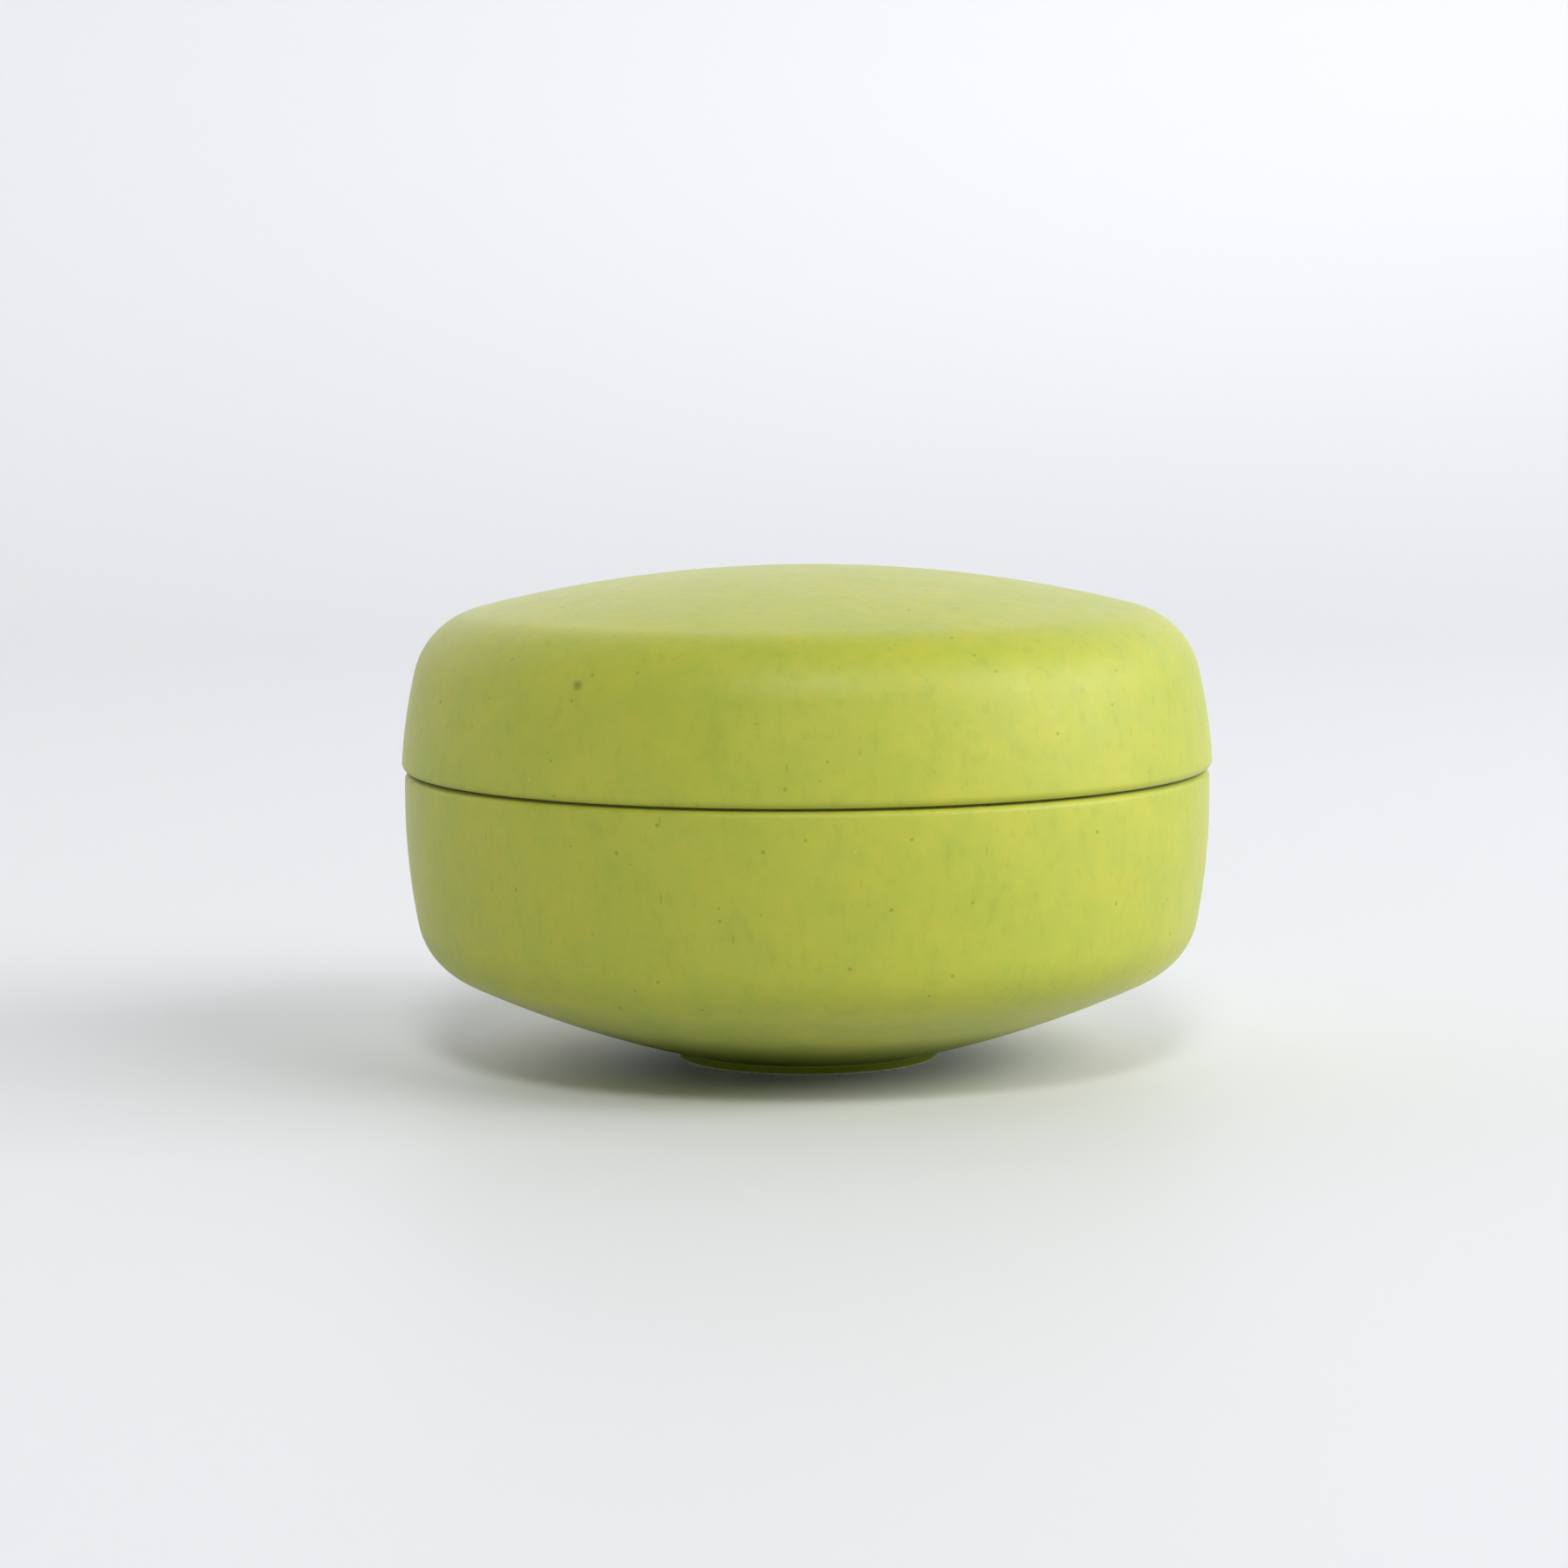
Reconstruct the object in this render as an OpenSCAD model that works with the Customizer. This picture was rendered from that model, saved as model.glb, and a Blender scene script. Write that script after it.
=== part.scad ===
// Lidded stoneware rice bowl: a shallow round bowl on a small foot ring, and a domed lid.
// Millimetres, +Z up. The origin is the centre of the foot ring's underside.
// Every outline lies in the (radius, height) half plane and is turned about Z.

/* [Bowl outside] */
// Largest diameter of the bowl wall
bowl_d = 119.2; // [116:0.2:119.6]
// Height of the rim plane, where the lid sits
bowl_h = 43.3; // [42:0.1:48]
// Height at which the bowl wall stands vertical
wall_upright_h = 39.5; // [38:0.5:41]
// Radius of the wall's vertical curve
wall_curve_r = 100; // [90:1:130]
// Radius of the shoulder between wall and underside
shoulder_r = 11; // [8:0.5:14]
// Radius of the underside's curve
belly_curve_r = 165; // [155:1:190]
// Slope of the underside where it leaves the foot, in degrees
belly_slope = 13.6; // [12.6:0.1:14.6]
// Rounding of the rim's outer edge
rim_outer_round = 1.3; // [0.8:0.1:1.6]

/* [Bowl inside] */
// Thickness of the bowl wall
bowl_wall_t = 3.6; // [3.2:0.1:3.8]
// Height of the bowl's inner floor at its centre
floor_h = 4.8; // [4.2:0.1:6]
// Radius of the inner floor's curve
floor_curve_r = 112; // [105:1:125]
// Radius of the inner shoulder between floor and wall
inner_shoulder_r = 10; // [7:0.5:14]
// Rounding of the rim's inner edge
rim_inner_round = 0.7; // [0.4:0.1:0.8]

/* [Foot ring] */
// Outer diameter of the foot ring
foot_d = 38.4; // [34:0.2:42]
// Width of the foot ring's flat underside with its edge roundings
foot_w = 3.2; // [2.4:0.1:4.5]
// Height at which the underside would meet the foot ring
foot_h = 1.5; // [1.3:0.1:2]
// Depth of the recess inside the foot ring
recess_h = 1; // [0.8:0.1:1.2]
// Rounding of the foot ring's two bottom edges
foot_round = 0.4; // [0.2:0.1:0.5]
// Rounding of the inner corners beside the foot ring
foot_fillet = 0.5; // [0.3:0.1:0.6]

/* [Lid outside] */
// Largest diameter of the lid, at its lip
lid_d = 120; // [119:0.2:122]
// Height of the crown above the seat
lid_rise = 29.85; // [29.4:0.05:33]
// Radius of the crown's curve
crown_curve_r = 202; // [180:1:240]
// Radius of the lid's shoulder between crown and side
lid_shoulder_r = 12; // [8:0.5:15]
// Radius of the lid side's vertical curve
side_curve_r = 82; // [70:1:100]
// Inward lean of the lid's side just above the lip, in degrees
side_lean = 4.6; // [2:0.1:6]
// Rounding of the lip's outer edge
lip_round = 2; // [1.2:0.1:2.4]
// Gap between the lip and the bowl's rim, outside the seat
lip_gap = 0.35; // [0.25:0.05:0.6]

/* [Lid inside] */
// Thickness of the lid at its crown
crown_t = 3.8; // [3.4:0.1:4.2]
// Thickness of the lid's side
side_t = 3.8; // [3.4:0.1:4.2]
// Radius of the lid's inner shoulder
lid_inner_shoulder_r = 10; // [8:0.5:12]
// Radial clearance between the locating flange and the bowl
flange_clearance = 0.75; // [0.4:0.05:1.2]
// Thickness of the locating flange
flange_t = 2.8; // [2.4:0.1:3.4]
// Depth of the flange below the seat
flange_h = 4.8; // [3:0.1:7]
// Rounding of the flange's free edge
flange_round = 1; // [0.5:0.1:1.1]
// Rounding of the corner between flange and seat
seat_fillet = 0.4; // [0.2:0.1:0.6]
// Radius of the two curves of the inner ledge above the flange
ledge_curve_r = 5; // [4:0.5:5]

/* [Hidden] */
$fn = 180;
glaze_colour = [0.68, 0.72, 0.28];
// Largest distance between an arc and the chords that stand for it
chord_error = 0.008;

bowl_r = bowl_d / 2;
foot_r = foot_d / 2;
foot_inner_r = foot_r - foot_w;
lid_r = lid_d / 2;

// ---- Outline helpers: an angle of 0 points outward and 90 points up ----

function unit(angle) = [cos(angle), sin(angle)];
function heading(from, to) = atan2(to[1] - from[1], to[0] - from[0]);

function arc(centre, r, from, to) =
    let (step = 2 * acos(1 - chord_error / r))
    let (n = max(2, ceil(abs(to - from) / step)))
    [for (i = [0:n]) centre + r * unit(from + (to - from) * i / n)];

// One closed outline from stretches of points, where each shared end counts once
function outline(stretches) =
    let (points = [for (stretch = stretches) each stretch])
    [for (i = [0:len(points) - 1])
        if (norm(points[(i + 1) % len(points)] - points[i]) > chord_error / 4) points[i]];

// Centre of a circle that lies at the distances p and q from the points a and b, on the right
// of the way from a to b
function third_corner(a, b, p, q) =
    let (d = norm(b - a))
    let (along = (p * p - q * q + d * d) / (2 * d))
    let (aside = sqrt(p * p - along * along))
    a + along * (b - a) / d + aside * [b[1] - a[1], a[0] - b[0]] / d;

// ---- Bowl ----

wall_c = [bowl_r - wall_curve_r, wall_upright_h];
belly_c = [foot_r, foot_h] + belly_curve_r * unit(90 + belly_slope);
shoulder_c = third_corner(wall_c, belly_c, wall_curve_r - shoulder_r, belly_curve_r - shoulder_r);
shoulder_low_a = heading(belly_c, shoulder_c);
shoulder_high_a = heading(wall_c, shoulder_c);

// Fillet between the foot ring's side and the underside
foot_fillet_x = foot_r + foot_fillet;
foot_fillet_reach = belly_curve_r + foot_fillet;
foot_fillet_drop = sqrt(pow(foot_fillet_reach, 2) - pow(foot_fillet_x - belly_c[0], 2));
foot_fillet_c = [foot_fillet_x, belly_c[1] - foot_fillet_drop];
belly_start_a = heading(belly_c, foot_fillet_c);

rim_outer_a = asin((bowl_h - rim_outer_round - wall_c[1]) / (wall_curve_r - rim_outer_round));
rim_outer_c = wall_c + (wall_curve_r - rim_outer_round) * unit(rim_outer_a);

inner_wall_curve_r = wall_curve_r - bowl_wall_t;
rim_inner_a = asin((bowl_h - rim_inner_round - wall_c[1]) / (inner_wall_curve_r + rim_inner_round));
rim_inner_c = wall_c + (inner_wall_curve_r + rim_inner_round) * unit(rim_inner_a);

floor_c = [0, floor_h + floor_curve_r];
inner_shoulder_c = third_corner(wall_c, floor_c,
    inner_wall_curve_r - inner_shoulder_r, floor_curve_r - inner_shoulder_r);
inner_shoulder_low_a = heading(floor_c, inner_shoulder_c);
inner_shoulder_high_a = heading(wall_c, inner_shoulder_c);

module bowl() {
    color(glaze_colour)
    rotate_extrude()
    polygon(outline([
        [[0, recess_h]],
        arc([foot_inner_r - foot_fillet, recess_h - foot_fillet], foot_fillet, 90, 0),
        arc([foot_inner_r + foot_round, foot_round], foot_round, 180, 270),
        arc([foot_r - foot_round, foot_round], foot_round, 270, 360),
        arc(foot_fillet_c, foot_fillet, 180, 180 + belly_start_a),
        arc(belly_c, belly_curve_r, belly_start_a, shoulder_low_a),
        arc(shoulder_c, shoulder_r, shoulder_low_a, shoulder_high_a),
        arc(wall_c, wall_curve_r, shoulder_high_a, rim_outer_a),
        arc(rim_outer_c, rim_outer_round, rim_outer_a, 90),
        arc(rim_inner_c, rim_inner_round, 90, 180 + rim_inner_a),
        arc(wall_c, inner_wall_curve_r, rim_inner_a, inner_shoulder_high_a),
        arc(inner_shoulder_c, inner_shoulder_r, inner_shoulder_high_a, inner_shoulder_low_a),
        arc(floor_c, floor_curve_r, inner_shoulder_low_a, -90)
    ]));
}

// ---- Lid, drawn closed ----

crown_h = bowl_h + lid_rise;
crown_c = [0, crown_h - crown_curve_r];
lip_h = bowl_h + lip_gap;
lip_c = [lid_r - lip_round, lip_h + lip_round];
side_c = lip_c - (side_curve_r - lip_round) * unit(side_lean);
lid_shoulder_c = third_corner(crown_c, side_c,
    crown_curve_r - lid_shoulder_r, side_curve_r - lid_shoulder_r);
lid_shoulder_low_a = heading(side_c, lid_shoulder_c);
lid_shoulder_high_a = heading(crown_c, lid_shoulder_c);

mouth_r = wall_c[0] + sqrt(pow(inner_wall_curve_r, 2) - pow(bowl_h - wall_c[1], 2));
flange_r = mouth_r - flange_clearance;
flange_inner_r = flange_r - flange_t;
flange_round_h = bowl_h - flange_h + flange_round;
seat_r = lip_c[0] - 1.5 * lip_gap;

inner_side_curve_r = side_curve_r - side_t;
inner_crown_curve_r = crown_curve_r - crown_t;
lid_inner_shoulder_c = third_corner(crown_c, side_c,
    inner_crown_curve_r - lid_inner_shoulder_r, inner_side_curve_r - lid_inner_shoulder_r);
inner_crown_a = heading(crown_c, lid_inner_shoulder_c);
inner_side_high_a = heading(side_c, lid_inner_shoulder_c);

// The ledge swings outward from the flange on one curve and up into the side on another
ledge_low_c = [flange_inner_r + ledge_curve_r, bowl_h];
ledge_high_c = third_corner(ledge_low_c, side_c, 2 * ledge_curve_r, inner_side_curve_r - ledge_curve_r);
ledge_a = heading(ledge_high_c, ledge_low_c);
inner_side_low_a = heading(side_c, ledge_high_c);

module lid() {
    color(glaze_colour)
    rotate_extrude()
    polygon(outline([
        arc(crown_c, inner_crown_curve_r, 90, inner_crown_a),
        arc(lid_inner_shoulder_c, lid_inner_shoulder_r, inner_crown_a, inner_side_high_a),
        arc(side_c, inner_side_curve_r, inner_side_high_a, inner_side_low_a),
        arc(ledge_high_c, ledge_curve_r, inner_side_low_a, ledge_a),
        arc(ledge_low_c, ledge_curve_r, 180 + ledge_a, 180),
        arc([flange_inner_r + flange_round, flange_round_h], flange_round, 180, 270),
        arc([flange_r - flange_round, flange_round_h], flange_round, 270, 360),
        arc([flange_r + seat_fillet, bowl_h - seat_fillet], seat_fillet, 180, 90),
        [[seat_r, bowl_h], [seat_r + lip_gap, lip_h]],
        arc(lip_c, lip_round, 270, 360 + side_lean),
        arc(side_c, side_curve_r, side_lean, lid_shoulder_low_a),
        arc(lid_shoulder_c, lid_shoulder_r, lid_shoulder_low_a, lid_shoulder_high_a),
        arc(crown_c, crown_curve_r, lid_shoulder_high_a, 90)
    ]));
}

bowl();
lid();
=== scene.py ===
"""Lidded stoneware rice bowl in a matte speckled glaze. Metres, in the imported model's frame."""

from math import acos, asin, atan2, ceil, cos, hypot, pi, radians, sin, sqrt

import bpy
from mathutils import Matrix, Vector


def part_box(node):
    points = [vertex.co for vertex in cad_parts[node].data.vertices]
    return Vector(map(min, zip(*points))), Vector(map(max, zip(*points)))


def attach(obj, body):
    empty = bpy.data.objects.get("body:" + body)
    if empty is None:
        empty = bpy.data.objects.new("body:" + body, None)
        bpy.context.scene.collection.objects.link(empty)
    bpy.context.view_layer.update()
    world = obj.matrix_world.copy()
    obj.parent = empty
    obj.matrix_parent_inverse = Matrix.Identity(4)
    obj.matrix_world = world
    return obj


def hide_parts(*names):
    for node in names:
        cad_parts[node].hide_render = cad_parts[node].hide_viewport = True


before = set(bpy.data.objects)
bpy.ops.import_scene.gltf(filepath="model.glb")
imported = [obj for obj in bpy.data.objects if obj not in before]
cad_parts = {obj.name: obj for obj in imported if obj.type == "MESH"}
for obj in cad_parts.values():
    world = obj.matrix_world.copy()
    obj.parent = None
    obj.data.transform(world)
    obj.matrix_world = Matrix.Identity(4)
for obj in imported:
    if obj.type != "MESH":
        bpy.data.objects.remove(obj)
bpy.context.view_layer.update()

MM = 0.001


# ---- Outlines: points (radius, height); an angle of 0 points outward and 90 degrees up ----

LONGEST_STEP = 1.0 * MM
WIDEST_TURN = radians(9)


def toward(centre, reach, angle):
    return (centre[0] + reach * cos(angle), centre[1] + reach * sin(angle))


def heading(a, b):
    return atan2(b[1] - a[1], b[0] - a[0])


def third_corner(a, b, p, q):
    """The point at distances p from a and q from b, on the right of the way from a to b."""
    d = hypot(b[0] - a[0], b[1] - a[1])
    along = (p * p - q * q + d * d) / (2 * d)
    aside = sqrt(p * p - along * along)
    ux, uy = (b[0] - a[0]) / d, (b[1] - a[1]) / d
    return (a[0] + along * ux + aside * uy, a[1] + along * uy - aside * ux)


def arc(centre, r, start, end):
    turn = abs(end - start)
    n = max(2, ceil(turn / WIDEST_TURN), ceil(turn * r / LONGEST_STEP))
    return [toward(centre, r, start + (end - start) * i / n) for i in range(n + 1)]


def line(a, b):
    n = max(1, ceil(hypot(b[0] - a[0], b[1] - a[1]) / LONGEST_STEP))
    return [(a[0] + (b[0] - a[0]) * i / n, a[1] + (b[1] - a[1]) * i / n) for i in range(n + 1)]


# ---- Meshes ----

SEGMENTS = 192
FIRST_ANGLE = -pi / 4
SHARP_EDGE = radians(32)
SAME_POINT = 0.002 * MM


def disc(radius, height):
    """A disc of four-sided faces whose rim matches a turned ring. height is a function of radius."""
    n = SEGMENTS // 4
    t = [sqrt(2) * sin(FIRST_ANGLE + i * pi / 2 / n) for i in range(n + 1)]
    points = []
    for y in t:
        for x in t:
            px, py = x * sqrt(1 - y * y / 2), y * sqrt(1 - x * x / 2)
            points.append((radius * px, radius * py, height(radius * hypot(px, py))))
    at = lambda i, j: j * (n + 1) + i
    faces = [(at(i, j), at(i + 1, j), at(i + 1, j + 1), at(i, j + 1)) for j in range(n) for i in range(n)]
    rim = [at(n, j) for j in range(n)] + [at(n - i, n) for i in range(n)]
    rim += [at(0, n - j) for j in range(n)] + [at(i, 0) for i in range(n)]
    return points, faces, rim


def turned(name, stretches, first_height, last_height, materials):
    """A closed solid of revolution. Each stretch is (points, material number). The first and last
    stretch stop at the rims of two discs, whose heights are functions of the radius."""
    outline, slots = [], []
    for points, slot in stretches:
        for p in points:
            if outline and hypot(p[0] - outline[-1][0], p[1] - outline[-1][1]) < SAME_POINT:
                continue
            outline.append(p)
            slots.append(slot)
    verts, faces, face_slots = [], [], []

    def add_disc(radius, height, slot, upward):
        points, quads, rim = disc(radius, height)
        base = len(verts)
        verts.extend(points)
        for quad in quads:
            quad = quad if upward else quad[::-1]
            faces.append([base + i for i in quad])
            face_slots.append(slot)
        return [base + i for i in rim]

    ring = add_disc(outline[0][0], first_height, slots[0], False)
    for k in range(1, len(outline)):
        if k == len(outline) - 1:
            new = add_disc(outline[k][0], last_height, slots[k], True)
        else:
            base = len(verts)
            r, z = outline[k]
            for s in range(SEGMENTS):
                a = FIRST_ANGLE + 2 * pi * s / SEGMENTS
                verts.append((r * cos(a), r * sin(a), z))
            new = list(range(base, base + SEGMENTS))
        for s in range(SEGMENTS):
            e = (s + 1) % SEGMENTS
            faces.append([ring[s], ring[e], new[e], new[s]])
            face_slots.append(slots[k])
        ring = new
    mesh = bpy.data.meshes.new(name)
    mesh.from_pydata(verts, [], faces)
    for m in materials:
        mesh.materials.append(m)
    mesh.polygons.foreach_set("material_index", face_slots)
    mesh.polygons.foreach_set("use_smooth", [True] * len(faces))
    mesh.set_sharp_from_angle(angle=SHARP_EDGE)
    mesh.validate()
    obj = bpy.data.objects.new(name, mesh)
    bpy.context.scene.collection.objects.link(obj)
    return obj


# ---- Materials ----

SPECK_CORE = 0.55  # share of a speck's radius with its full colour


class Nodes:
    """A material's node tree, with short calls for the nodes used here."""

    def __init__(self, name):
        self.material = bpy.data.materials.new(name)
        self.material.use_nodes = True
        self.tree = self.material.node_tree
        self.tree.nodes.clear()
        self.shader = self.add("ShaderNodeBsdfPrincipled")
        out = self.add("ShaderNodeOutputMaterial")
        self.join(self.shader.outputs[0], out.inputs[0])

    def add(self, kind, **settings):
        node = self.tree.nodes.new(kind)
        for key, value in settings.items():
            setattr(node, key, value)
        return node

    def join(self, source, target):
        self.tree.links.new(source, target)

    def put(self, node, **inputs):
        for key, value in inputs.items():
            socket = node.inputs[key.replace("_", " ")]
            if isinstance(value, bpy.types.NodeSocket):
                self.join(value, socket)
            else:
                socket.default_value = value
        return node

    def position(self, stretch=(1, 1, 1)):
        """The piece's own coordinates. A stretch under 1 along an axis draws the pattern out along it."""
        coords = self.add("ShaderNodeTexCoord")
        mapping = self.add("ShaderNodeMapping")
        mapping.inputs["Scale"].default_value = stretch
        self.join(coords.outputs["Object"], mapping.inputs["Vector"])
        return mapping.outputs["Vector"]

    def upward(self, kind):
        """The Z part of the piece's own "Object" coordinates or "Normal"."""
        coords, parts = self.add("ShaderNodeTexCoord"), self.add("ShaderNodeSeparateXYZ")
        self.join(coords.outputs[kind], parts.inputs[0])
        return parts.outputs["Z"]

    def noise(self, size, detail=3.0, rough=0.55, vector=None):
        """Noise from 0 to 1 whose features are about size metres."""
        node = self.add("ShaderNodeTexNoise")
        self.put(node, Vector=vector or self.position(), Scale=1 / size, Detail=detail, Roughness=rough)
        return node.outputs["Fac"]

    def remap(self, value, low, high, to_low=0.0, to_high=1.0, smooth=False):
        node = self.add("ShaderNodeMapRange")
        if smooth:
            node.interpolation_type = "SMOOTHSTEP"
        names = ("Value", "From Min", "From Max", "To Min", "To Max")
        for key, v in zip(names, (value, low, high, to_low, to_high)):
            if isinstance(v, bpy.types.NodeSocket):
                self.join(v, node.inputs[key])
            else:
                node.inputs[key].default_value = v
        return node.outputs["Result"]

    def times(self, value, factor):
        return self.math("MULTIPLY", value, factor)

    def math(self, operation, *values):
        node = self.add("ShaderNodeMath", operation=operation)
        for socket, v in zip(node.inputs, values):
            if isinstance(v, bpy.types.NodeSocket):
                self.join(v, socket)
            else:
                socket.default_value = v
        return node.outputs[0]

    def mix(self, factor, a, b):
        node = self.add("ShaderNodeMix", data_type="RGBA")
        for socket, v in ((node.inputs[0], factor), (node.inputs[6], a), (node.inputs[7], b)):
            if isinstance(v, bpy.types.NodeSocket):
                self.join(v, socket)
            elif isinstance(v, tuple):
                socket.default_value = (*v, 1)
            else:
                socket.default_value = v
        return node.outputs[2]

    def specks(self, spacing, smallest, largest, share, stretch=(1, 1, 1)):
        """1 inside round specks scattered through space, 0 outside. share is the part of the cells
        that hold one; the radii run from smallest to largest."""
        node = self.add("ShaderNodeTexVoronoi", feature="F1")
        self.put(node, Vector=self.position(stretch), Scale=1 / spacing, Randomness=1.0)
        pick = self.add("ShaderNodeSeparateColor")
        self.join(node.outputs["Color"], pick.inputs[0])
        radius = self.remap(pick.outputs[0], 1 - share, 1.0, smallest / spacing, largest / spacing)
        inner = self.times(radius, SPECK_CORE)
        inside = self.remap(node.outputs["Distance"], inner, radius, 1.0, 0.0, smooth=True)
        there = self.math("GREATER_THAN", pick.outputs[0], 1 - share)
        return self.times(inside, there)

    def bump(self, height, depth):
        node = self.add("ShaderNodeBump")
        self.put(node, Height=height, Distance=depth, Strength=1.0)
        self.join(node.outputs["Normal"], self.shader.inputs["Normal"])


GREEN, YELLOW, OCHRE = (0.334, 0.400, 0.035), (0.436, 0.440, 0.036), (0.450, 0.402, 0.036)
# The third colour on the next line is painted shade: dark green for undersides close above the foot and
# for the foot ring's side.
PALE, OLIVE, PAINTED_SHADE = (0.520, 0.530, 0.105), (0.155, 0.188, 0.010), (0.078, 0.132, 0.004)
# The second value on the next line is the lower gloss used where that painted shade lies.
GLOSS, UNDERSIDE_GLOSS, SHEEN = 0.5, 0.06, 0.17
SKIN_DEPTH = 0.03 * MM


def mottled(m, patches, grain):
    """Green to yellow in clouds, patches and grain, with warm spots and thin olive streaks."""
    clouds = m.remap(m.noise(24 * MM, 2, 0.5), 0.34, 0.66)
    tone = m.math("ADD", m.times(clouds, 0.30), m.times(patches, 0.46))
    tone = m.math("ADD", tone, m.times(grain, 0.24))
    colour = m.mix(tone, GREEN, YELLOW)
    warm = m.remap(m.noise(2.3 * MM, 2, 0.5, m.position((1, 1, 0.8))), 0.60, 0.74, 0.0, 0.45)
    colour = m.mix(warm, colour, OCHRE)
    streaks = m.remap(m.noise(1.5 * MM, 3, 0.55, m.position((1, 1, 0.55))), 0.28, 0.46, 0.15, 0.0)
    return m.mix(streaks, colour, OLIVE)


def iron_spot(m, colour, grain, place, radius):
    """One round olive spot with a soft, slightly ragged edge."""
    away = m.add("ShaderNodeVectorMath", operation="DISTANCE")
    m.join(m.position(), away.inputs[0])
    away.inputs[1].default_value = place
    reach = m.math("ADD", away.outputs["Value"], m.times(grain, 0.15 * MM))
    halo = m.remap(reach, 0.7 * radius, 1.5 * radius, 0.55, 0.0, smooth=True)
    core = m.remap(reach, 0.35 * radius, 0.75 * radius, 0.45, 0.0, smooth=True)
    return m.mix(core, m.mix(halo, colour, OLIVE), OLIVE)


def painted_underside_shade(m, patches, shade_h):
    """Mask of painted shade: 1 on the foot ring's side and on undersides close above it, fading to 0 at
    the height given as its last argument.
    """
    under = m.remap(m.upward("Normal"), -0.75, -0.95, 0.0, 1.0, smooth=True)
    height = m.math("ADD", m.upward("Object"), m.times(patches, 0.5 * MM))
    low = m.remap(height, 2.0 * MM, shade_h, 1.0, 0.0)
    side = m.remap(m.upward("Object"), 1.2 * MM, 1.6 * MM, 1.0, 0.0)
    return m.math("MAXIMUM", m.times(under, low), side)


def glaze(name, iron_spots=(), shade_h=None):
    """Matte ash glaze: soft patches of green and yellow, olive flecks, short runs and pale pin marks.
    iron_spots are (place, radius) pairs. Below the height given as its last argument, undersides and the
    foot ring's side get painted shade: darker and greener, with less gloss and sheen."""
    m = Nodes(name)
    patches = m.remap(m.noise(7 * MM, 3, 0.55), 0.34, 0.66)
    grain = m.remap(m.noise(2.2 * MM, 2, 0.5), 0.32, 0.68)
    flecks = m.specks(2.9 * MM, 0.16 * MM, 0.42 * MM, 0.48)
    runs = m.specks(2.5 * MM, 0.12 * MM, 0.30 * MM, 0.46, (1, 1, 0.26))
    pins = m.specks(3.8 * MM, 0.18 * MM, 0.40 * MM, 0.30, (1, 1, 0.55))
    colour = mottled(m, patches, grain)
    colour = m.mix(m.times(flecks, 0.50), colour, OLIVE)
    colour = m.mix(m.times(runs, 0.28), colour, OLIVE)
    colour = m.mix(m.times(pins, 0.30), colour, PALE)
    for place, radius in iron_spots:
        colour = iron_spot(m, colour, grain, place, radius)
    # Painted shade: undersides close above the foot and the foot ring's side are mixed toward dark green,
    # with less gloss and sheen.
    if shade_h:
        shade_mask = painted_underside_shade(m, patches, shade_h)
        colour = m.mix(m.times(shade_mask, 0.84), colour, PAINTED_SHADE)
        m.join(m.remap(shade_mask, 0.0, 1.0, GLOSS, UNDERSIDE_GLOSS), m.shader.inputs["Specular IOR Level"])
        m.join(m.remap(shade_mask, 0.0, 0.5, SHEEN, 0.0), m.shader.inputs["Sheen Weight"])
    else:
        m.put(m.shader, Specular_IOR_Level=GLOSS, Sheen_Weight=SHEEN)
    m.join(colour, m.shader.inputs["Base Color"])
    rough = m.remap(m.noise(3.5 * MM, 3, 0.6), 0.3, 0.7, 0.46, 0.56)
    m.join(m.math("ADD", rough, m.times(flecks, 0.1)), m.shader.inputs["Roughness"])
    skin = m.math("ADD", m.noise(0.9 * MM, 3, 0.5), m.times(m.noise(4.5 * MM, 2, 0.5), 2.4))
    skin = m.math("SUBTRACT", skin, m.times(flecks, 0.5))
    m.bump(m.math("ADD", skin, m.times(pins, 0.6)), SKIN_DEPTH)
    m.put(m.shader, IOR=1.5, Sheen_Roughness=0.3)
    return m.material


def bare_clay(name):
    """Dry stoneware with dark grog, where no glaze was put."""
    m = Nodes(name)
    grain = m.noise(0.7 * MM, 4, 0.65)
    colour = m.mix(m.remap(grain, 0.35, 0.65), (0.30, 0.29, 0.21), (0.43, 0.41, 0.32))
    grog = m.specks(1.2 * MM, 0.08 * MM, 0.2 * MM, 0.5)
    colour = m.mix(m.times(grog, 0.6), colour, (0.16, 0.13, 0.09))
    m.join(colour, m.shader.inputs["Base Color"])
    m.join(m.remap(grain, 0.3, 0.7, 0.80, 0.94), m.shader.inputs["Roughness"])
    m.bump(m.math("ADD", m.noise(0.35 * MM, 4, 0.7), grog), 0.05 * MM)
    m.put(m.shader, Specular_IOR_Level=0.3)
    return m.material


def studio_paper(name):
    """Nearly matte, faintly uneven white paper."""
    m = Nodes(name)
    sweep = m.noise(0.5, 2, 0.5)
    m.join(m.mix(sweep, (0.685, 0.697, 0.714), (0.705, 0.717, 0.734)), m.shader.inputs["Base Color"])
    m.put(m.shader, Roughness=0.5, Specular_IOR_Level=0.16)
    return m.material


# ---- Sizes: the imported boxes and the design's driving dimensions, with a crisper rim and lip ----

bowl_low, bowl_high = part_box("bowl")
lid_low, lid_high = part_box("lid")
bowl_r, bowl_h = min(bowl_high.x, bowl_high.y, -bowl_low.x, -bowl_low.y), bowl_high.z
lid_r, crown_h = min(lid_high.x, lid_high.y, -lid_low.x, -lid_low.y), lid_high.z

WALL_UPRIGHT_H, WALL_CURVE_R, WALL_T = 39.5 * MM, 100 * MM, 3.6 * MM
CENTRE_R = 12 * MM  # radius of the four-sided patch at the middle of each round face
# Height up to which undersides get painted shade.
PAINTED_SHADE_H = 9 * MM
GLAZE, CLAY = 0, 1
LID_IRON_SPOTS = [((-31.6 * MM, -47.9 * MM, 59.8 * MM), 0.75 * MM)]


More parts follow.
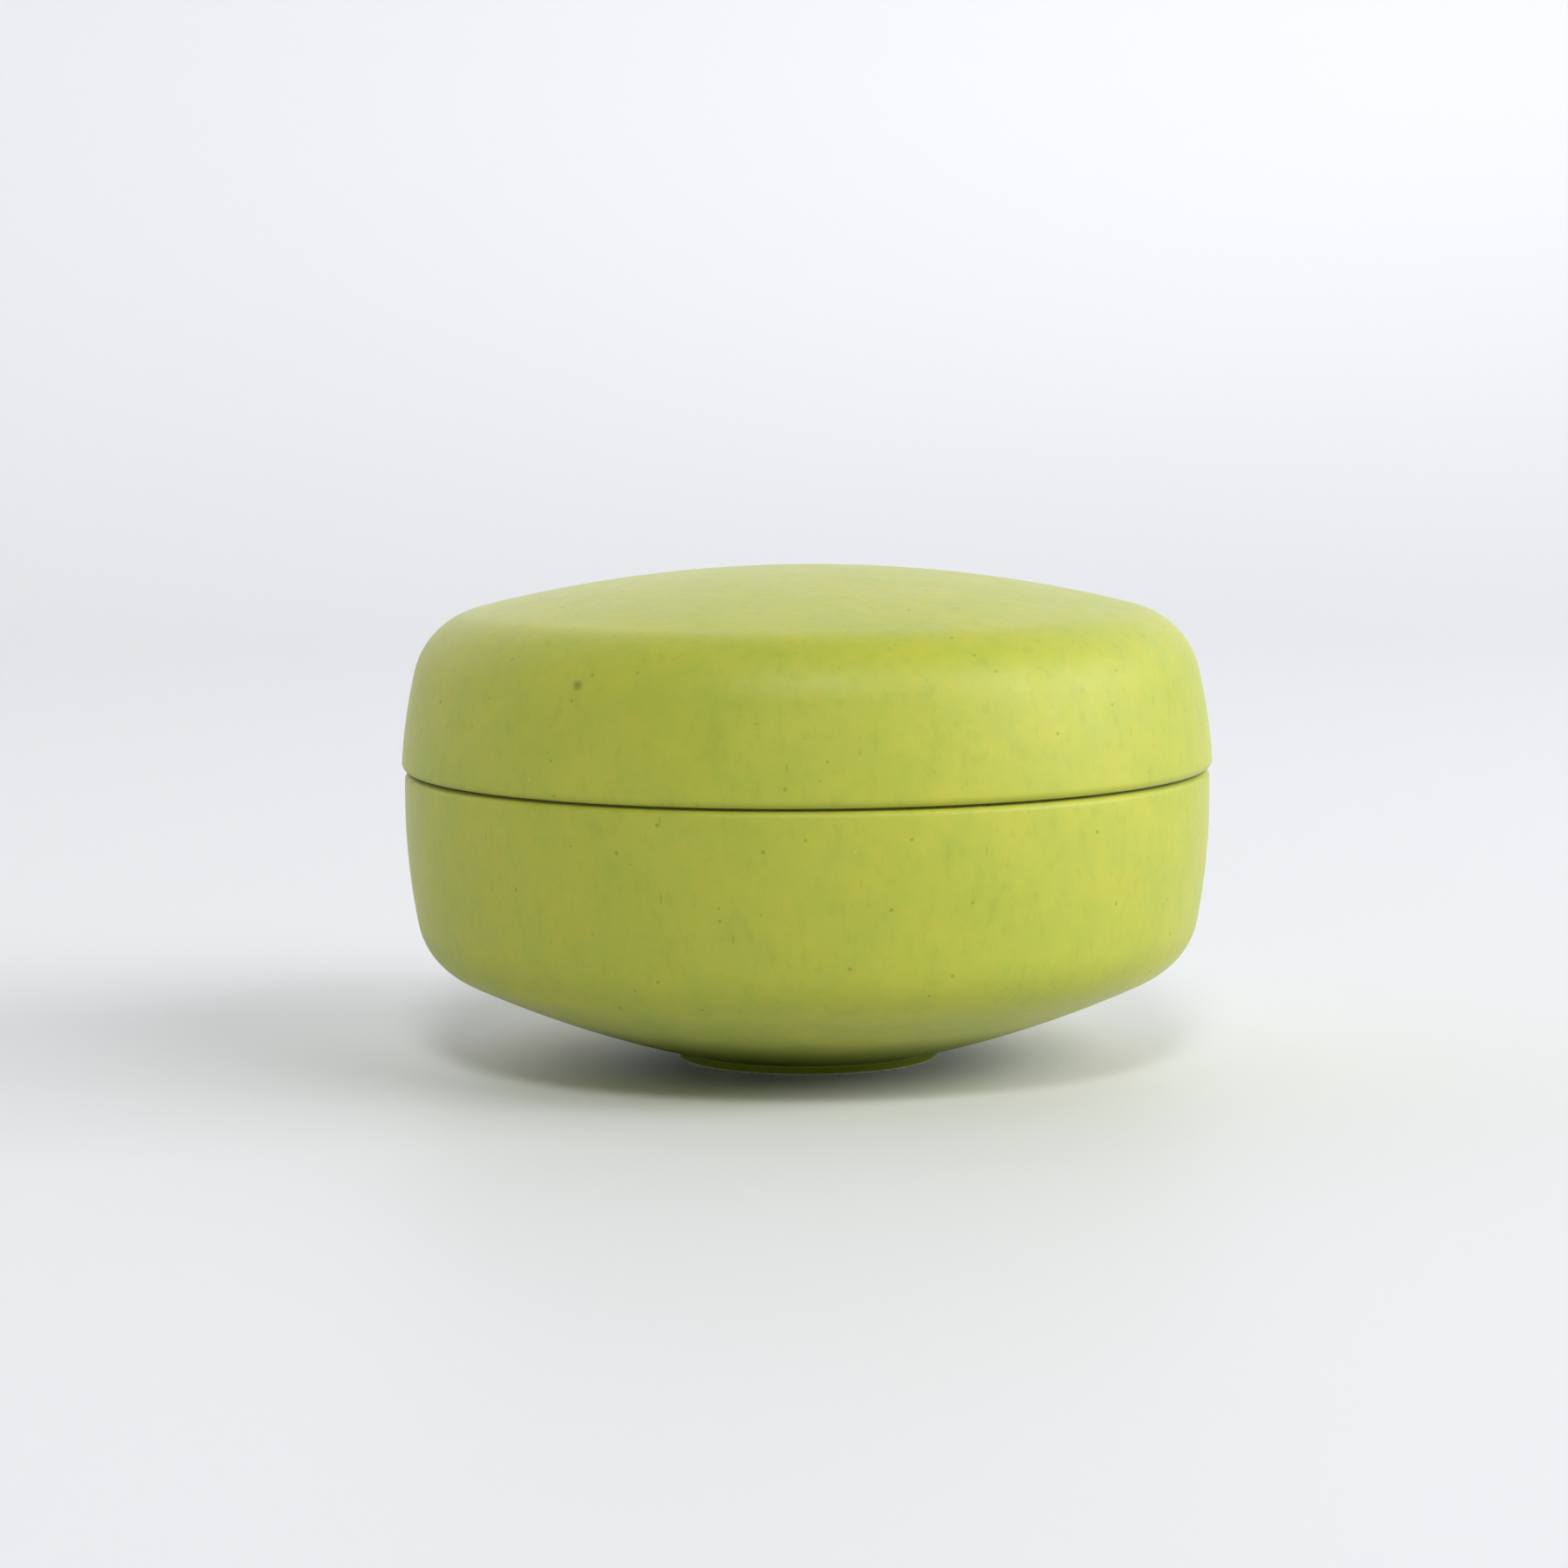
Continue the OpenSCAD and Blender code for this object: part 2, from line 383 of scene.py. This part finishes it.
def make_bowl(materials):
    """The bowl, from the recess in its foot round the outside and the rim to the middle of its floor."""
    shoulder_r, belly_curve_r, belly_slope = 11 * MM, 165 * MM, radians(13.6)
    rim_outer, rim_inner = 1.0 * MM, 0.7 * MM
    floor_h, floor_curve_r, inner_shoulder_r = 4.8 * MM, 112 * MM, 10 * MM
    foot_r, foot_w, foot_h, recess_h = 19.2 * MM, 3.2 * MM, 1.5 * MM, 1.0 * MM
    foot_round, fillet = 0.4 * MM, 0.5 * MM

    wall_c = (bowl_r - WALL_CURVE_R, WALL_UPRIGHT_H)
    belly_c = toward((foot_r, foot_h), belly_curve_r, pi / 2 + belly_slope)
    shoulder_c = third_corner(wall_c, belly_c, WALL_CURVE_R - shoulder_r, belly_curve_r - shoulder_r)
    fillet_x = foot_r + fillet
    fillet_z = belly_c[1] - sqrt((belly_curve_r + fillet) ** 2 - (fillet_x - belly_c[0]) ** 2)
    fillet_c = (fillet_x, fillet_z)
    start = heading(belly_c, fillet_c)
    low, high = heading(belly_c, shoulder_c), heading(wall_c, shoulder_c)
    outer_a = asin((bowl_h - rim_outer - wall_c[1]) / (WALL_CURVE_R - rim_outer))
    outer_c = toward(wall_c, WALL_CURVE_R - rim_outer, outer_a)
    inner_r = WALL_CURVE_R - WALL_T
    inner_a = asin((bowl_h - rim_inner - wall_c[1]) / (inner_r + rim_inner))
    inner_c = toward(wall_c, inner_r + rim_inner, inner_a)
    floor_c = (0, floor_h + floor_curve_r)
    turn_c = third_corner(wall_c, floor_c, inner_r - inner_shoulder_r, floor_curve_r - inner_shoulder_r)
    turn_high, turn_low = heading(wall_c, turn_c), heading(floor_c, turn_c)
    floor_end = -acos(CENTRE_R / floor_curve_r)

    foot_in = foot_r - foot_w
    stretches = [
        (line((CENTRE_R, recess_h), (foot_in - fillet, recess_h)), GLAZE),
        (arc((foot_in - fillet, recess_h - fillet), fillet, pi / 2, 0), GLAZE),
        (arc((foot_in + foot_round, foot_round), foot_round, pi, 1.5 * pi), CLAY),
        (line((foot_in + foot_round, 0), (foot_r - foot_round, 0)), CLAY),
        (arc((foot_r - foot_round, foot_round), foot_round, 1.5 * pi, 2 * pi), CLAY),
        (line((foot_r, foot_round), (foot_r, fillet_c[1])), GLAZE),
        (arc(fillet_c, fillet, pi, pi + start), GLAZE),
        (arc(belly_c, belly_curve_r, start, low), GLAZE),
        (arc(shoulder_c, shoulder_r, low, high), GLAZE),
        (arc(wall_c, WALL_CURVE_R, high, outer_a), GLAZE),
        (arc(outer_c, rim_outer, outer_a, pi / 2), GLAZE),
        (arc(inner_c, rim_inner, pi / 2, pi + inner_a), GLAZE),
        (arc(wall_c, inner_r, inner_a, turn_high), GLAZE),
        (arc(turn_c, inner_shoulder_r, turn_high, turn_low), GLAZE),
        (arc(floor_c, floor_curve_r, turn_low, floor_end), GLAZE),
    ]
    floor_at = lambda r: floor_c[1] - sqrt(floor_curve_r**2 - r * r)
    return turned("bowl_stoneware", stretches, lambda r: recess_h, floor_at, materials)


def make_lid(materials):
    """The lid, from the middle of its inside round the flange, seat and lip to the top of its crown."""
    crown_curve_r, shoulder_r, side_curve_r = 202 * MM, 12 * MM, 82 * MM
    side_lean, lip_round, lip_gap = radians(4.0), 1.2 * MM, 0.35 * MM
    crown_t, side_t, inner_shoulder_r = 3.8 * MM, 3.8 * MM, 10 * MM
    flange_t, flange_round, seat_fillet, ledge_r = 2.8 * MM, 1.0 * MM, 0.4 * MM, 5 * MM
    mouth_clearance, bare_edge, seat_inset = 0.75 * MM, 0.9 * MM, 2.5 * MM

    seat_h = bowl_h
    flange_h = lid_low.z
    inner_r = WALL_CURVE_R - WALL_T
    mouth_r = bowl_r - WALL_CURVE_R + sqrt(inner_r**2 - (bowl_h - WALL_UPRIGHT_H) ** 2)
    flange_r = mouth_r - mouth_clearance
    flange_in = flange_r - flange_t

    crown_c = (0, crown_h - crown_curve_r)
    lip_h = seat_h + lip_gap
    lip_c = (lid_r - lip_round, lip_h + lip_round)
    side_c = toward(lip_c, side_curve_r - lip_round, pi + side_lean)
    shoulder_c = third_corner(crown_c, side_c, crown_curve_r - shoulder_r, side_curve_r - shoulder_r)
    low, high = heading(side_c, shoulder_c), heading(crown_c, shoulder_c)
    crown_in, side_in = crown_curve_r - crown_t, side_curve_r - side_t
    turn_c = third_corner(crown_c, side_c, crown_in - inner_shoulder_r, side_in - inner_shoulder_r)
    turn_high, turn_low = heading(crown_c, turn_c), heading(side_c, turn_c)
    ledge_low_c = (flange_in + ledge_r, seat_h)
    ledge_high_c = third_corner(ledge_low_c, side_c, 2 * ledge_r, side_in - ledge_r)
    ledge_a, ledge_top = heading(ledge_high_c, ledge_low_c), heading(side_c, ledge_high_c)
    edge_h = flange_h + flange_round
    seat_end = lid_r - seat_inset

    stretches = [
        (arc(crown_c, crown_in, acos(CENTRE_R / crown_in), turn_high), GLAZE),
        (arc(turn_c, inner_shoulder_r, turn_high, turn_low), GLAZE),
        (arc(side_c, side_in, turn_low, ledge_top), GLAZE),
        (arc(ledge_high_c, ledge_r, ledge_top, ledge_a), GLAZE),
        (arc(ledge_low_c, ledge_r, pi + ledge_a, pi), GLAZE),
        (line((flange_in, seat_h), (flange_in, edge_h + bare_edge)), GLAZE),
        (line((flange_in, edge_h + bare_edge), (flange_in, edge_h)), CLAY),
        (arc((flange_in + flange_round, edge_h), flange_round, pi, 1.5 * pi), CLAY),
        (arc((flange_r - flange_round, edge_h), flange_round, 1.5 * pi, 2 * pi), CLAY),
        (line((flange_r, edge_h), (flange_r, edge_h + bare_edge)), CLAY),
        (line((flange_r, edge_h + bare_edge), (flange_r, seat_h - seat_fillet)), GLAZE),
        (arc((flange_r + seat_fillet, seat_h - seat_fillet), seat_fillet, pi, pi / 2), GLAZE),
        (line((flange_r + seat_fillet, seat_h), (seat_end, seat_h)), GLAZE),
        (line((seat_end, seat_h), (seat_end + lip_gap, lip_h)), GLAZE),
        (line((seat_end + lip_gap, lip_h), (lip_c[0], lip_h)), GLAZE),
        (arc(lip_c, lip_round, -pi / 2, side_lean), GLAZE),
        (arc(side_c, side_curve_r, side_lean, low), GLAZE),
        (arc(shoulder_c, shoulder_r, low, high), GLAZE),
        (arc(crown_c, crown_curve_r, high, acos(CENTRE_R / crown_curve_r)), GLAZE),
    ]
    inside_at = lambda r: crown_c[1] + sqrt(crown_in**2 - r * r)
    outside_at = lambda r: crown_c[1] + sqrt(crown_curve_r**2 - r * r)
    return turned("lid_stoneware", stretches, inside_at, outside_at, materials)


clay = bare_clay("bare_clay")
bowl = make_bowl([glaze("bowl_matte_glaze", shade_h=PAINTED_SHADE_H), clay])
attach(bowl, "bowl")
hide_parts("bowl")
lid = make_lid([glaze("lid_matte_glaze", LID_IRON_SPOTS), clay])
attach(lid, "lid")
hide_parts("lid")


# ---- Camera ----

CAMERA_DISTANCE, CAMERA_HEIGHT = 0.700, 0.1155
LENS_MM, PITCH_DOWN, YAW_LEFT, ROLL = 108.74, radians(6.091), radians(0.280), radians(-0.329)

camera = bpy.data.objects.new("camera", bpy.data.cameras.new("camera"))
camera.data.sensor_width = 36
camera.data.lens = LENS_MM
camera.matrix_world = (
    Matrix.Translation((0, -CAMERA_DISTANCE, CAMERA_HEIGHT))
    @ Matrix.Rotation(YAW_LEFT, 4, "Z")
    @ Matrix.Rotation(pi / 2 - PITCH_DOWN, 4, "X")
    @ Matrix.Rotation(ROLL, 4, "Z")
)
bpy.context.scene.collection.objects.link(camera)
bpy.context.scene.camera = camera


# ---- Stage: a round studio sweep, open at the top ----

FLOOR_R, SWEEP_R, SWEEP_END = 0.8, 2.0, radians(40)
FLOOR_STEPS, SWEEP_STEPS, AROUND = 12, 16, 96


def make_stage():
    outline = [(FLOOR_R * i / FLOOR_STEPS, 0) for i in range(FLOOR_STEPS + 1)]
    for i in range(1, SWEEP_STEPS + 1):
        outline.append(toward((FLOOR_R, SWEEP_R), SWEEP_R, -pi / 2 + SWEEP_END * i / SWEEP_STEPS))
    verts = [(0, 0, 0)]
    for r, z in outline[1:]:
        verts += [(r * cos(2 * pi * s / AROUND), r * sin(2 * pi * s / AROUND), z) for s in range(AROUND)]
    faces = [(0, 1 + s, 1 + (s + 1) % AROUND) for s in range(AROUND)]
    for k in range(len(outline) - 2):
        a, b = 1 + k * AROUND, 1 + (k + 1) * AROUND
        faces += [(a + s, b + s, b + (s + 1) % AROUND, a + (s + 1) % AROUND) for s in range(AROUND)]
    mesh = bpy.data.meshes.new("studio_floor")
    mesh.from_pydata(verts, [], faces)
    mesh.polygons.foreach_set("use_smooth", [True] * len(faces))
    mesh.materials.append(studio_paper("studio_paper"))
    floor = bpy.data.objects.new("studio_floor", mesh)
    bpy.context.scene.collection.objects.link(floor)


FAR = 2.0
GLOW_FALLOFF = 3.0


def toward_light(azimuth, elevation):
    """Azimuth 0 is the camera's side, 90 the right."""
    a, e = radians(azimuth), radians(elevation)
    return Vector((sin(a) * cos(e), -cos(a) * cos(e), sin(e)))


def far_softbox(name, azimuth, elevation, width, power):
    """A big, far softbox that looks width degrees wide from the bowl."""
    light = bpy.data.lights.new(name, "SUN")
    light.angle = radians(width)
    light.energy = power
    obj = bpy.data.objects.new(name, light)
    away = toward_light(azimuth, elevation)
    obj.location = away * FAR
    obj.rotation_euler = away.to_track_quat("Z", "Y").to_euler()
    bpy.context.scene.collection.objects.link(obj)


def studio_walls(glows):
    """A world whose walls glow softly from some sides: (azimuth, elevation, strength) each."""
    world = bpy.data.worlds.new("studio_walls")
    bpy.context.scene.world = world
    world.use_nodes = True
    tree = world.node_tree
    background = tree.nodes["Background"]
    background.inputs["Color"].default_value = (0.982, 0.988, 1.0, 1)
    direction = tree.nodes.new("ShaderNodeTexCoord")
    total = None
    for azimuth, elevation, strength in glows:
        facing = tree.nodes.new("ShaderNodeVectorMath")
        facing.operation = "DOT_PRODUCT"
        facing.inputs[1].default_value = toward_light(azimuth, elevation)
        tree.links.new(direction.outputs["Generated"], facing.inputs[0])
        last = facing.outputs["Value"]
        for operation, value in (("MAXIMUM", 0.0), ("POWER", GLOW_FALLOFF), ("MULTIPLY", strength)):
            step = tree.nodes.new("ShaderNodeMath")
            step.operation = operation
            step.inputs[1].default_value = value
            tree.links.new(last, step.inputs[0])
            last = step.outputs[0]
        if total:
            step = tree.nodes.new("ShaderNodeMath")
            tree.links.new(total, step.inputs[0])
            tree.links.new(last, step.inputs[1])
            last = step.outputs[0]
        total = last
    tree.links.new(total, background.inputs["Strength"])


def near_softbox(name, azimuth, elevation, distance, size, power, aim=(0, 0, 0.04)):
    """A rectangular softbox of the given width and height, turned to face the place aim."""
    light = bpy.data.lights.new(name, "AREA")
    light.shape = "RECTANGLE"
    light.size, light.size_y = size
    light.energy = power
    obj = bpy.data.objects.new(name, light)
    obj.location = toward_light(azimuth, elevation) * distance
    obj.rotation_euler = (obj.location - Vector(aim)).to_track_quat("Z", "Y").to_euler()
    obj.visible_camera = False
    bpy.context.scene.collection.objects.link(obj)


make_stage()
far_softbox("front_softbox", 0, 46, 14, 1.09)
far_softbox("key_softbox", 56, 35, 34, 1.23)
near_softbox("side_softbox", 85, 23, 1.6, (1.0, 0.65), 13.3)
near_softbox("backdrop_softbox", 167, 34, 1.61, (0.6, 0.4), 2.75, aim=(0.3, 2.3, 0.35))
studio_walls([
    (180, 15, 0.81),
    (135, 15, 0.93),
    (225, 15, 0.79),
    (270, 15, 0.54),
    (100, 8, 0.13),
    (0, 90, 0.14),
    (0, 2, 0.05),
])

bpy.context.scene.view_settings.view_transform = "Standard"
